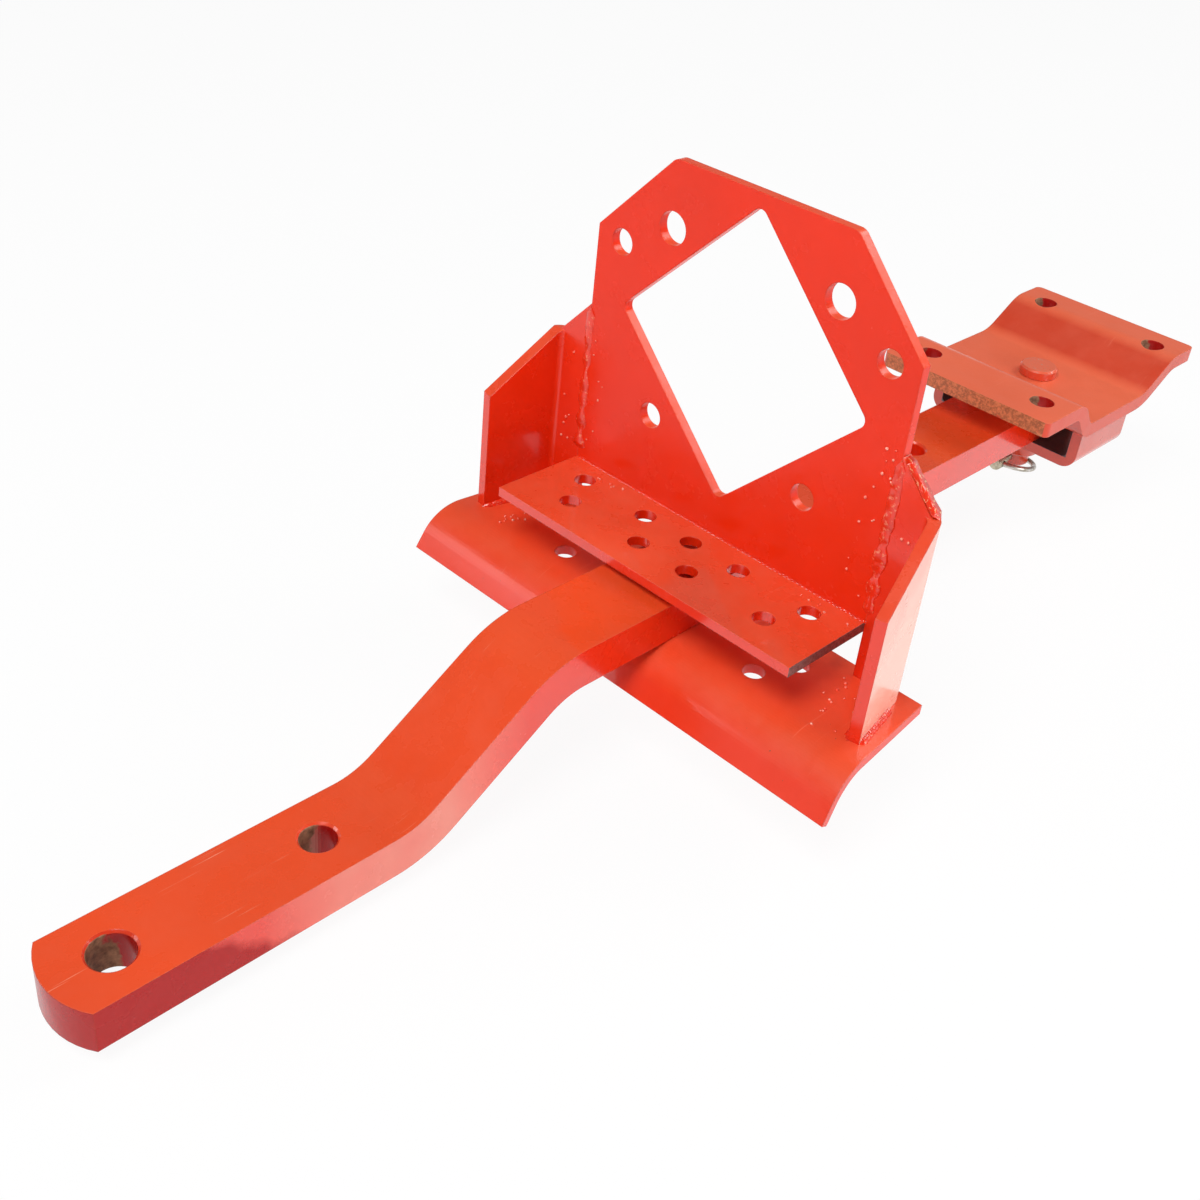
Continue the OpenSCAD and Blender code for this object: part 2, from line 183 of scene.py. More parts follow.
class Shader:
    """A material's node tree, with short calls for the nodes that the materials share."""

    def __init__(self, name):
        self.material = bpy.data.materials.new(name)
        self.material.use_nodes = True
        self.tree = self.material.node_tree
        self.tree.nodes.clear()
        self.output = self.tree.nodes.new("ShaderNodeOutputMaterial")
        self.surface = self.tree.nodes.new("ShaderNodeBsdfPrincipled")
        self.link(self.surface.outputs[0], self.output.inputs[0])
        self.object = self.node("ShaderNodeTexCoord").outputs["Object"]
        self.geometry = self.node("ShaderNodeNewGeometry")

    def node(self, kind, **values):
        node = self.tree.nodes.new(kind)
        for key, value in values.items():
            setattr(node, key, value)
        return node

    def link(self, source, target):
        self.tree.links.new(source, target)

    def put(self, value, socket):
        if hasattr(value, "is_output"):
            self.link(value, socket)
        else:
            socket.default_value = value

    def math(self, operation, a, b=0.0, clamp=False):
        node = self.node("ShaderNodeMath", operation=operation, use_clamp=clamp)
        self.put(a, node.inputs[0])
        self.put(b, node.inputs[1])
        return node.outputs[0]

    def product(self, first, *others, clamp=False):
        for other in others[:-1]:
            first = self.math("MULTIPLY", first, other)
        return self.math("MULTIPLY", first, others[-1], clamp)

    def inverse(self, value):
        return self.math("SUBTRACT", 1.0, value)

    def vector(self, operation, a, b):
        node = self.node("ShaderNodeVectorMath", operation=operation)
        self.put(a, node.inputs[0])
        self.put(b, node.inputs[1])
        return node.outputs["Value"] if operation in ("DOT_PRODUCT", "DISTANCE") else node.outputs[0]

    def axis(self, vector, name):
        node = self.node("ShaderNodeSeparateXYZ")
        self.link(vector, node.inputs[0])
        return node.outputs[name]

    def stretched(self, scale, turn):
        node = self.node("ShaderNodeMapping")
        self.link(self.object, node.inputs["Vector"])
        node.inputs["Scale"].default_value = scale
        node.inputs["Rotation"].default_value = turn
        return node.outputs[0]

    def noise(self, scale, detail=3.0, rough=0.55, where=None):
        node = self.node("ShaderNodeTexNoise")
        self.link(where or self.object, node.inputs["Vector"])
        node.inputs["Scale"].default_value = scale
        node.inputs["Detail"].default_value = detail
        node.inputs["Roughness"].default_value = rough
        return node.outputs["Fac"]

    def ramp(self, value, low, high, out_low=0.0, out_high=1.0):
        node = self.node("ShaderNodeMapRange")
        self.put(value, node.inputs["Value"])
        limits = {"From Min": low, "From Max": high, "To Min": out_low, "To Max": out_high}
        for name, number in limits.items():
            node.inputs[name].default_value = number
        return node.outputs[0]

    def mix(self, amount, a, b):
        node = self.node("ShaderNodeMix", data_type="RGBA")
        self.put(amount, node.inputs["Factor"])
        self.put(a if hasattr(a, "is_output") else (*a, 1.0), node.inputs["A"])
        self.put(b if hasattr(b, "is_output") else (*b, 1.0), node.inputs["B"])
        return node.outputs["Result"]

    def edge(self, radius):
        """1 on convex and concave edges within the radius, 0 on flat faces, and the rounded normal."""
        node = self.node("ShaderNodeBevel", samples=6)
        node.inputs["Radius"].default_value = radius
        flat = self.vector("DOT_PRODUCT", node.outputs[0], self.geometry.outputs["Normal"])
        return self.ramp(flat, 1.0, 0.6), node.outputs[0]

    def upward(self, low=0.4, high=0.9):
        return self.ramp(self.axis(self.geometry.outputs["True Normal"], "Z"), low, high)

    def bump(self, heights, normal=None):
        """Adds each (height socket, distance in metres) to the normal."""
        for height, distance in heights:
            node = self.node("ShaderNodeBump")
            node.inputs["Distance"].default_value = distance
            self.link(height, node.inputs["Height"])
            if normal is not None:
                self.link(normal, node.inputs["Normal"])
            normal = node.outputs[0]
        return normal

    def finish(self, **sockets):
        for name, value in sockets.items():
            self.put(value, self.surface.inputs[name.replace("_", " ")])
        return self.material


def tint(colour, amount):
    return tuple(amount * c for c in colour)


def hole_walls(sh, holes):
    """1 on the walls of the level holes, and 1 on their bare side. A hole is (centre, radius)."""
    point = sh.vector("MULTIPLY", sh.object, (1, 1, 0))
    ragged = sh.ramp(sh.noise(60.0, 3.0), 0.3, 0.7, -0.5, 0.5)
    walls = bare = 0.0
    for centre, radius in holes:
        wall = sh.math("LESS_THAN", sh.vector("DISTANCE", point, centre), radius + TOUCH)
        offset = sh.vector("SUBTRACT", point, centre)
        side = sh.vector("DOT_PRODUCT", offset, (BARE_SIDE[0] / radius, BARE_SIDE[1] / radius, 0))
        part = sh.product(wall, sh.ramp(sh.math("ADD", side, ragged), 0.15, 0.35))
        walls = sh.math("MAXIMUM", wall, walls)
        bare = sh.math("MAXIMUM", part, bare)
    # the first value marks the hole walls, which get a painted shade
    return sh.product(walls, sh.inverse(sh.upward())), bare


def painted_shade_end(sh, painted_shade_y):
    """1 at the bar's near end, up to painted_shade_y, and further along the lower half of the sides."""
    # painted shade: the near end and the lower sides are darkened
    lower = sh.product(sh.axis(sh.object, "Z"), 1.5)
    way = sh.math("ADD", sh.axis(sh.object, "Y"), lower)
    ragged = sh.ramp(sh.noise(40.0, 2.0), 0.3, 0.7, -8 * MM, 8 * MM)
    return sh.ramp(sh.math("ADD", way, ragged), painted_shade_y + 14 * MM, painted_shade_y)


def painted_floor_reflection(sh, painted_reflection, painted_reflection_y):
    """A painted reflection of the pale floor on the right-hand sides, thicker towards the foot and only within
    painted_reflection_y.
    """
    right = sh.ramp(sh.axis(sh.geometry.outputs["True Normal"], "X"), 0.75, 0.95)
    patchy = sh.ramp(sh.noise(14.0, 2.0), 0.3, 0.6, 0.6, 1.0)
    low = sh.ramp(sh.axis(sh.object, "Z"), REFLECTION_TOP, REFLECTION_FULL)
    y = sh.axis(sh.object, "Y")
    begin = sh.ramp(y, painted_reflection_y[0], painted_reflection_y[0] + REFLECTION_FADE)
    end = sh.ramp(y, painted_reflection_y[1] + REFLECTION_FADE, painted_reflection_y[1])
    return sh.product(right, patchy, low, begin, end, painted_reflection)


def long_scratches(sh, scratches):
    """Fine scratches on what faces up, mostly along the part."""
    lines = sh.noise(1.0, 2.0, 0.5, sh.stretched((900.0, 14.0, 60.0), (0.0, 0.0, 0.35)))
    patches = sh.ramp(sh.noise(16.0, 2.0), 0.50, 0.62)
    return sh.product(sh.ramp(lines, 0.68, 0.74), patches, sh.upward(), scratches, clamp=True)


def cut_face(sh, axis, sign, limit, steel):
    """1 on an end face that was cut after painting, and the colour of its ground steel."""
    value = sh.product(sh.axis(sh.object, axis), sign)
    cut = sh.math("GREATER_THAN", value, sign * limit - TOUCH)
    cut = sh.product(cut, sh.ramp(sh.noise(90.0, 3.0), 0.26, 0.34))
    return cut, sh.mix(sh.ramp(sh.noise(420.0, 3.0, 0.7), 0.38, 0.62), steel, tint(steel, 0.5))


def channel_faces(sh, half, height):
    """1 on the inner faces of a channel of this half width, above this height."""
    across = sh.math("LESS_THAN", sh.math("ABSOLUTE", sh.axis(sh.object, "X")), half + TOUCH)
    return sh.product(across, sh.math("GREATER_THAN", sh.axis(sh.object, "Z"), height - TOUCH))


def enamel(name, red, top, dust=0.25, wear=0.5, holes=(), bare=None, inside=None, scratches=0.5, gloss=0.20,
           coat=0.8, ior=1.50, painted_reflection=0.0, painted_reflection_y=(-1.0, 9.0), tilt=(0.4, 0.9), rubbed=0.0, painted_shade_y=None):
    """Glossy enamel with soft mottling, a dusty film on top, scratches, and edges worn to steel.

    red is its colour on upright faces and top on level ones, and tilt says between which slopes it turns; top
    is painted light, lighter and more orange where faces look up. holes are (centre, radius) of the level
    holes, whose walls have a bare side and are darkened as painted shade. bare is (axis, sign, limit, steel)
    of an end face that was cut after painting, and inside is (half width, height) of a channel whose inner
    faces are painted near-black as painted shade. haze is a painted reflection of the pale floor on the
    right-hand side, within painted_reflection_y, and rubbed the share of bright metal on top. Up to
    painted_shade_y the upright faces are darkened as painted shade. The lighter line along the edges is partly
    thin paint and partly a painted highlight.
    """
    sh = Shader(name)
    broad = sh.noise(9.0, 3.0)
    cloud = sh.noise(38.0, 4.0, 0.6)
    # painted light: faces that look up take the lighter top colour
    level = sh.upward(*tilt)
    colour = sh.mix(level, red, top)
    darker = sh.mix(level, tint(red, 0.84), tint(top, 0.84))
    colour = sh.mix(sh.ramp(broad, 0.35, 0.7, 0.0, 0.6), colour, darker)
    # painted shade: the hole walls and the bar's near end and lower sides turn dark red and lose their coat
    deep = 0.0
    if holes:
        deep, bare_walls = hole_walls(sh, holes)
    if painted_shade_y is not None:
        deep = sh.math("MAXIMUM", deep, sh.product(painted_shade_end(sh, painted_shade_y), sh.inverse(level)))
    if holes or painted_shade_y is not None:
        colour = sh.mix(deep, colour, PAINTED_SHADE_RED)
        coat = sh.product(sh.inverse(deep), coat)
    film = sh.product(sh.ramp(cloud, 0.35, 0.75), sh.upward())
    colour = sh.mix(sh.product(film, dust), colour, DUST)
    # painted reflection of the pale floor on the right-hand sides
    if painted_reflection:
        colour = sh.mix(painted_floor_reflection(sh, painted_reflection, painted_reflection_y), colour, PAINTED_REFLECTION_PINK)
    colour = sh.mix(long_scratches(sh, scratches), colour, SCRATCH_AND_EDGE_HIGHLIGHT)
    chips = sh.product(sh.ramp(sh.noise(420.0, 1.0, 0.5), 0.775, 0.79), sh.ramp(broad, 0.55, 0.65))
    colour = sh.mix(sh.product(chips, wear), colour, RUST_BROWN)
    # edges: a lighter line on every edge, partly thin paint and partly a painted highlight, then bare steel in
    # short runs
    edge, rounded = sh.edge(ENAMEL_EDGE)
    colour = sh.mix(sh.product(edge, 0.45 * wear), colour, SCRATCH_AND_EDGE_HIGHLIGHT)
    runs = sh.ramp(sh.noise(70.0, 4.0, 0.7), 0.56, 0.62)
    shown = sh.product(edge, runs, 0.8 * wear, clamp=True)
    metal = sh.mix(sh.ramp(sh.noise(160.0, 4.0, 0.7), 0.35, 0.65), BARE_STEEL, RUST_BROWN)
    if holes:
        shown = sh.math("MAXIMUM", shown, bare_walls)
    if rubbed:
        worn = sh.product(sh.ramp(sh.noise(420.0, 3.0), 0.60, 0.68, 0.0, rubbed), level)
        metal = sh.mix(worn, metal, BRIGHT_STEEL)
        shown = sh.math("MAXIMUM", shown, worn)
    if bare:
        cut, ground = cut_face(sh, *bare)
        metal = sh.mix(cut, metal, ground)
        shown = sh.math("MAXIMUM", shown, cut)
    # painted shade: the channel's inner faces turn near-black
    if inside:
        within = channel_faces(sh, *inside)
        metal = sh.mix(within, metal, CHANNEL_PAINTED_SHADE)
        shown = sh.math("MAXIMUM", shown, within)
    colour = sh.mix(shown, colour, metal)
    roughness = sh.ramp(cloud, 0.3, 0.75, gloss, gloss + 0.12)
    roughness = sh.math("ADD", roughness, sh.product(film, 0.10))
    roughness = sh.math("ADD", roughness, sh.product(shown, 0.35), clamp=True)
    orange_peel = (sh.noise(330.0, 2.0), 0.08 * MM)
    grain = (sh.noise(900.0, 2.0), 0.02 * MM)
    normal = sh.bump([(sh.noise(24.0, 2.0), 0.9 * MM), orange_peel, grain], rounded)
    return sh.finish(Base_Color=colour, Roughness=roughness, Normal=normal, Metallic=sh.product(shown, 0.15),
                     IOR=ior, Coat_Weight=coat, Coat_Roughness=0.10, Coat_IOR=1.55)


def zinc(name, bright):
    """Zinc plate, dull and handled, brown in cloudy patches."""
    sh = Shader(name)
    cloud = sh.noise(220.0, 4.0, 0.65)
    colour = sh.mix(sh.ramp(cloud, 0.35, 0.7), bright, ZINC_BROWN)
    colour = sh.mix(sh.ramp(sh.noise(600.0, 2.0), 0.62, 0.72, 0.0, 0.6), colour, ZINC_PALE)
    edge, rounded = sh.edge(ZINC_EDGE)
    colour = sh.mix(sh.product(edge, 0.5), colour, ZINC_RUBBED)
    normal = sh.bump([(sh.noise(500.0, 3.0), 0.06 * MM)], rounded)
    return sh.finish(Base_Color=colour, Roughness=sh.ramp(cloud, 0.3, 0.7, 0.26, 0.46), Metallic=0.9,
                     Normal=normal)


def weld_enamel(name, red, painted_glints=0.5, glint_colour=PALE_GLINT, gloss=0.14):
    """Enamel over a rippled bead: glossier, with painted glints as bright spots in its colour."""
    sh = Shader(name)
    cloud = sh.noise(120.0, 4.0, 0.65)
    colour = sh.mix(sh.ramp(cloud, 0.35, 0.7), red, tint(red, 0.8))
    # painted glints: bright spots in the colour
    colour = sh.mix(sh.ramp(sh.noise(420.0, 3.0), 0.58, 0.66, 0.0, painted_glints), colour, glint_colour)
    normal = sh.bump([(sh.noise(260.0, 4.0, 0.6), 0.30 * MM)])
    return sh.finish(Base_Color=colour, Roughness=sh.ramp(cloud, 0.3, 0.7, gloss, gloss + 0.14),
                     Normal=normal, IOR=1.5, Coat_Weight=0.6, Coat_Roughness=0.06)


def droplet_enamel(name):
    """Glossy enamel on the drops of weld spatter, lighter than the paint, with pale spots as painted glints.
    """
    sh = Shader(name)
    cloud = sh.noise(160.0, 2.0)
    colour = sh.mix(sh.ramp(cloud, 0.4, 0.65), DROP_RED_PAINTED_LIGHT, DROP_PAINTED_GLINT)
    return sh.finish(Base_Color=colour, Roughness=sh.ramp(cloud, 0.3, 0.7, 0.08, 0.2), IOR=1.6,
                     Coat_Weight=1.0, Coat_Roughness=0.05)


def add_mesh(name, bm, material):
    mesh = bpy.data.meshes.new(name)
    bm.to_mesh(mesh)
    bm.free()
    for face in mesh.polygons:
        face.use_smooth = True
    mesh.materials.append(material)
    obj = bpy.data.objects.new(name, mesh)
    bpy.context.scene.collection.objects.link(obj)
    return obj


def bead_mesh(bm, start, end, side, up, size, seed, pitch=BEAD_PITCH, lumps=0.25, groove=0.0):
    """A weld bead from start to end: a low crowned strip whose overlapping ripples bulge along its way.

    size is its width and height, lumps how uneven it is, and groove how deep a line runs along its middle.
    """
    width, height = size
    along = (end - start).normalized()
    length = (end - start).length
    steps = max(12, int(length / (pitch / 6)))
    rings = []
    for i in range(steps + 1):
        s = length * i / steps
        wavy = s + 0.5 * pitch * noise.noise(Vector((s * 90.0, seed * 2.1, 9.0)))
        ripple = 0.78 + 0.22 * abs(math.sin(math.pi * wavy / pitch)) ** 0.6
        wander = noise.noise(Vector((s * 60.0, seed * 3.7, 0.0)))
        swell = 1.0 + lumps * noise.noise(Vector((s * 110.0, seed * 1.3, 5.0)))
        cap = min(1.0, 0.25 + min(s, length - s) / (0.6 * width))
        ring = []
        for j in range(AROUND_BEAD + 1):
            a = math.pi * j / AROUND_BEAD
            out = math.cos(a) * width / 2 * swell * cap + wander * 0.08 * width
            dip = 1.0 - groove * math.exp(-(math.cos(a) / 0.3) ** 2)
            high = math.sin(a) * height * ripple * swell * cap * dip - BEAD_SINK
            bow = 0.35 * pitch * math.sin(a)
            ring.append(bm.verts.new(start + along * (s + bow) + side * out + up * high))
        rings.append(ring)
    for a, b in zip(rings, rings[1:]):
        for j in range(AROUND_BEAD):
            bm.faces.new((a[j], a[j + 1], b[j + 1], b[j]))
        bm.faces.new((a[-1], a[0], b[0], b[-1]))
    for ring in (rings[0], reversed(rings[-1])):
        bm.faces.new(list(ring))
    bmesh.ops.recalc_face_normals(bm, faces=bm.faces)


def weld(name, node, start, end, side, up, size, seed, material, **form):
    """A rippled bead, which stands for the plain one in the frame where a node is given."""
    bm = bmesh.new()
    bead_mesh(bm, Vector(start), Vector(end), Vector(side).normalized(), Vector(up).normalized(), size, seed,
              **form)
    obj = add_mesh(name, bm, material)
    if node:
        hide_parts(node)
    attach(obj, "mounting")


def swept(point):
    """Whether the bar passes over this point between its limits."""
    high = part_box("drawbar")[1]
    swing = next(j for j in frame["record"]["behaviour"]["joints"] if j["name"] == "bar_swing")
    angle = math.radians(swing["range_deg"][1])
    reach = (swing["pos_m"][1] - point.y) * math.tan(angle) + high.x / math.cos(angle) + DROP_CLEAR
    return point.z < high.z and abs(point.x) < reach


def spatter(name, spots, material):
    """Drops of weld metal stuck on the plates. A spot is (centre, normal, spread u, spread v, count)."""
    rng = random.Random(11)
    bm = bmesh.new()
    for centre, normal, u, v, count in spots:
        for _ in range(count):
            a = rng.gauss(0.0, 0.45)
            b = rng.uniform(-1.0, 1.0)
            if abs(a) > 1.0:
                continue
            size = rng.uniform(DROP_SMALL, DROP_LARGE)
            at = centre + u * a + v * b + normal * size * 0.35
            if swept(at):
                continue
            turn = Matrix.Translation(at) @ normal.to_track_quat("Z", "Y").to_matrix().to_4x4()
            squash = Matrix.Diagonal((size, size * rng.uniform(0.8, 1.1), size * 0.85, 1.0))
            bmesh.ops.create_icosphere(bm, subdivisions=2, radius=1.0, matrix=turn @ squash)
    obj = add_mesh(name, bm, material)
    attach(obj, "mounting")


def dress_nodes():
    """Gives each solid that stays its material. Returns the bracket's two enamels and its bolt holes."""
    mounts = {m["name"]: m for m in frame["record"]["mounts"]}
    hitch = [((0, 0, 0), HITCH_R), ((0, mounts["second_hole"]["pos_m"][1], 0), SECOND_R)]
    centre = mounts["bracket_bolts"]
    half_x = centre["dims"]["spacing_x_mm"] / 2 * MM
    half_y = centre["dims"]["spacing_y_mm"] / 2 * MM
    bolt_r = centre["dims"]["hole_r_mm"] * MM
    bolts = [((sx * half_x, centre["pos_m"][1] + sy * half_y, 0), bolt_r)
             for sx in (-1, 1) for sy in (-1, 1)]
    strap_low, strap_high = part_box("strap")
    channel = (strap_high.x - STRAP_THICK, strap_low.z + STRAP_THICK)
    near_end = ("Y", -1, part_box("front_plate")[0].y, CUT_STEEL)
    shelf_end = ("X", 1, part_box("top_plate")[1].x, SHORN_STEEL)
    bar = enamel("bar_enamel", HANGER_RED, BAR_TOP_PAINTED_LIGHT, dust=0.10, wear=0.55, holes=hitch, scratches=1.0,
                 coat=0.8, ior=1.36, painted_reflection=0.42, painted_reflection_y=(0.07, 0.20), painted_shade_y=0.058)
    face = enamel("face_enamel", HANGER_RED, HANGER_TOP_PAINTED_LIGHT, wear=0.35, coat=0.05, ior=1.36)
    left = enamel("left_enamel", HANGER_RED, HANGER_TOP_PAINTED_LIGHT, wear=0.35, coat=0.3, ior=1.45)
    right = enamel("right_enamel", HANGER_RED, HANGER_TOP_PAINTED_LIGHT, wear=0.35, coat=0.6, painted_reflection=0.85)
    shelf = enamel("shelf_enamel", HANGER_RED, HANGER_TOP_PAINTED_LIGHT, dust=0.30, wear=0.50, bare=shelf_end,
                   scratches=0.4)
    foot = enamel("foot_enamel", HANGER_RED, HANGER_TOP_PAINTED_LIGHT, dust=0.16, wear=0.70, scratches=0.3, gloss=0.30,
                  coat=0.25, ior=1.42)
    bracket = enamel("bracket_enamel", BRACKET_RED, BRACKET_TOP_PAINTED_LIGHT, dust=0.2, wear=0.7, holes=bolts,
                     bare=near_end, gloss=0.30, coat=0.2, ior=1.45, tilt=(0.88, 0.99))
    pin = enamel("pin_enamel", BRACKET_RED, BRACKET_TOP_PAINTED_LIGHT, wear=1.4, gloss=0.24, rubbed=0.6)
    strap = enamel("strap_enamel", BRACKET_RED, BRACKET_TOP_PAINTED_LIGHT, dust=0.2, wear=0.6, inside=channel, gloss=0.26)
    metal = zinc("zinc_plate", ZINC_YELLOW)
    ring = zinc("ring_steel", RING_STEEL)
    looks = {"drawbar": bar, "face_plate": face, "top_plate": shelf, "bottom_plate": foot,
             "left_side_plate": left, "right_side_plate": right, "front_plate": bracket, "strap": strap,
             "pivot_pin": pin, "linch_pin": metal, "linch_ring": ring}
    for node, material in looks.items():
        nodes[node].material_slots[0].material = material
    return bracket, strap, bolts


def wing_bead(word, side, material):
    """The bead in the corner of the face plate and a wing."""
    low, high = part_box(f"weld_{word}_wing")
    face_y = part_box("face_plate")[0].y
    x = (low.x + high.x) / 2
    size = (0.9 * (high.x - low.x), 1.5 * MM)
    weld(f"bead_{word}_wing", f"weld_{word}_wing", (x, face_y, low.z), (x, face_y, high.z), (1, 0, 0),
         (0, -1, 0), size, 3 + side, material, pitch=7.5 * MM, lumps=0.9)


def strap_bead(word, side, material):
    """The bead that holds one leg of the strap to the front plate."""
    low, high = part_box(f"weld_strap_{word}")
    edge = low.x if side > 0 else high.x
    weld(f"bead_strap_{word}", f"weld_strap_{word}", (edge, low.y, high.z), (edge, high.y, high.z),
         (side, 0, 1), (side, 0, -1), CORNER_BEAD, 7 + side, material)


def leg_beads(word, side, material):
    """The beads inside and outside a leg's foot, whose corner lines lean across their boxes."""
    for place, way in (("foot", -1), ("outer", 1)):
        node = f"weld_{word}_{place}"
        low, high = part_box(node)
        lean = (high.y - low.y) * math.tan(math.radians(FOOT_WELD_SLANT))
        if side > 0:
            near, far = (high.x, high.x - lean) if way < 0 else (low.x + lean, low.x)
        else:
            near, far = (low.x, low.x + lean) if way < 0 else (high.x - lean, high.x)
        weld(f"bead_{word}_{place}", node, (near, low.y, low.z), (far, high.y, low.z), (way * side, 0, -1),
             (way * side, 0, 1), CORNER_BEAD, 20 + side + way * 3, material)


def crest_bead(material):
    """The bead over the sloping top edge of the right wing."""
    face_low, face_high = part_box("face_plate")
    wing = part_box("right_side_plate")[1]
    crest = Vector((face_high.x + 1 * MM, face_low.y + 4 * MM, wing.z))
    shoulder = Vector((wing.x - WING_END, face_low.y + 4 * MM, wing.z - WING_FALL))
    across = Vector((0, 1, 0))
    up = across.cross((shoulder - crest).normalized())
    weld("bead_right_crest", None, crest, shoulder, across, up, (8.5 * MM, 2.6 * MM), 41, material,
         pitch=2.6 * MM, groove=0.35)


def shelf_bead(material):
    """The slim bead along the shelf's rear edge."""
    low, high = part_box("weld_shelf")
    weld("bead_shelf", "weld_shelf", (low.x, high.y, low.z), (high.x, high.y, low.z), (0, -1, -1),
         (0, -1, 1), (4.0 * MM, 1.4 * MM), 31, material)


def dress_welds():
    red = weld_enamel("weld_enamel", HANGER_RED, painted_glints=0.4, glint_colour=WARM_GLINT)
    dull = weld_enamel("weld_enamel_dull", BRACKET_RED)
    for side, word in ((-1, "left"), (1, "right")):
        wing_bead(word, side, red)
        strap_bead(word, side, dull)
        leg_beads(word, side, red)
    # the crest bead carries the most painted glints
    crest_bead(weld_enamel("weld_enamel_painted_glints", HANGER_RED, painted_glints=0.9, glint_colour=BRIGHT_GLINT))
    shelf_bead(weld_enamel("weld_enamel_plain", HANGER_RED, painted_glints=0.0, gloss=0.06))


def dress_spatter():
    """Spatter beside the wing's seams, on the foot, along the shelf and below the right wing's crest."""
    face_low, face_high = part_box("face_plate")
    foot_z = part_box("bottom_plate")[1].z
    shelf_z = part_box("top_plate")[1].z
    face_y = face_low.y
    out = Vector((0, -1, 0))
    up = Vector((0, 0, 1))
    spots = []

    def spot(x, y, z, normal, u, v, count):
        spots.append((Vector((x, y, z)), normal, Vector(u), Vector(v), count))

    for side in (-1, 1):
        seam = side * face_high.x
        middle = shelf_z + 42 * MM
        spot(seam - side * 15 * MM, face_y, middle + 12 * MM, out, (14 * MM, 0, 0), (0, 0, 46 * MM), 8)
        spot(seam + side * 14 * MM, face_y, middle, out, (6 * MM, 0, 0), (0, 0, 38 * MM), 7)
        spot(side * 136 * MM, face_y - 32 * MM, foot_z, up, (30 * MM, 0, 0), (0, 30 * MM, 0), 30)
        spot(side * 100 * MM, face_y - 9 * MM, shelf_z, up, (0, 4 * MM, 0), (25 * MM, 0, 0), 6)
    spot(face_high.x - 8 * MM, face_y, 205 * MM, out, (7 * MM, 0, 0), (0, 0, 14 * MM), 7)
    spatter("weld_spatter", spots, droplet_enamel("droplet_enamel"))


def circle(x, y, r):
    angles = [2 * math.pi * k / AROUND_HOLE for k in range(AROUND_HOLE)]
    return [(x + r * math.cos(a), y + r * math.sin(a)) for a in angles]


def wrap(bm, rings):
    """Joins each ring of vertices to the next with quads."""
    for a, b in zip(rings, rings[1:]):
        for k in range(len(a)):
            n = (k + 1) % len(a)
            bm.faces.new((a[k], a[n], b[n], b[k]))


def lathe(bm, profile, axis_y):
    """Turns the points (radius, height), from the lower axis point to the upper one, about Z at axis_y."""
    rings = [[bm.verts.new((x, y, height)) for x, y in circle(0, axis_y, radius)]
             for radius, height in profile[1:-1]]
    wrap(bm, rings)
    for ring, (_, height) in ((rings[0], profile[0]), (rings[-1], profile[-1])):
        centre = bm.verts.new((0, axis_y, height))
        for k, vertex in enumerate(ring):
            bm.faces.new((vertex, ring[(k + 1) % len(ring)], centre))
    bmesh.ops.recalc_face_normals(bm, faces=bm.faces)


def bent_line(corners, radii):
    """The points of a line in Y and Z with an arc at each inner corner."""
    line = [corners[0]]
    for before, corner, after, r in zip(corners, corners[1:], corners[2:], radii):
        a = (corner - before).normalized()
        b = (after - corner).normalized()
        angle = math.atan2(a.x * b.y - a.y * b.x, a.dot(b))
        way = math.copysign(1.0, angle)
        start = corner - a * r * math.tan(abs(angle) / 2)
        centre = start + Vector((-a.y, a.x)) * way * r
        count = math.ceil(abs(angle) / BEND_STEP)
        for k in range(count + 1):
            spoke = Matrix.Rotation(angle * k / count, 2) @ (start - centre)
            line.append(centre + spoke)
    line.append(corners[-1])
    return line


def bent_plate(bm, line, thick, half):
    """A plate of even thickness that follows the line, from x = -half to half."""
    rows = []
    for i, point in enumerate(line):
        along = (line[min(i + 1, len(line) - 1)] - line[max(i - 1, 0)]).normalized()
        normal = Vector((-along.y, along.x)) * thick / 2
        rows.append([bm.verts.new((x, *(point + normal * way))) for x, way in
                     ((-half, 1), (half, 1), (half, -1), (-half, -1))])
    wrap(bm, rows)
    bm.faces.new(rows[0])
    bm.faces.new(list(reversed(rows[-1])))
    bmesh.ops.recalc_face_normals(bm, faces=bm.faces)


def prism(outline, low, high):
    """A throwaway object that cuts another: the outline in X and Y, with a margin below low and above high."""
    bm = bmesh.new()
    floor = [bm.verts.new((x, y, low - CUT_MARGIN)) for x, y in outline]
    roof = [bm.verts.new((x, y, high + CUT_MARGIN)) for x, y in outline]
    bm.faces.new(list(reversed(floor)))
    bm.faces.new(roof)
    wrap(bm, [floor, roof])
    mesh = bpy.data.meshes.new("cutter")
    bm.to_mesh(mesh)
    bm.free()
    obj = bpy.data.objects.new("cutter", mesh)
    bpy.context.scene.collection.objects.link(obj)
    return obj


def rounded_corners(low, high, r):
    """A rectangle in X and Y with rounded corners."""
    outline = []
    centres = ((high.x - r, high.y - r), (low.x + r, high.y - r), (low.x + r, low.y + r),
               (high.x - r, low.y + r))
    for (x, y), start in zip(centres, (0, 90, 180, 270)):
        for k in range(CORNER_STEPS + 1):
            a = math.radians(start + k * 90 / CORNER_STEPS)
            outline.append((x + r * math.cos(a), y + r * math.sin(a)))
    return outline


def cut(obj, tools):
    """Applies each (operation, prism) to the object's mesh."""
    for operation, tool in tools:
        change = obj.modifiers.new("cut", "BOOLEAN")
        change.operation = operation
        change.object = tool
        change.solver = "EXACT"
    graph = bpy.context.evaluated_depsgraph_get()
    graph.update()
    mesh = bpy.data.meshes.new_from_object(obj.evaluated_get(graph))
    obj.modifiers.clear()
    obj.data = mesh
    for _, tool in tools:
        bpy.data.objects.remove(tool)
    for face in mesh.polygons:
        face.use_smooth = True
    mesh.set_sharp_from_angle(angle=SHARP_ANGLE)


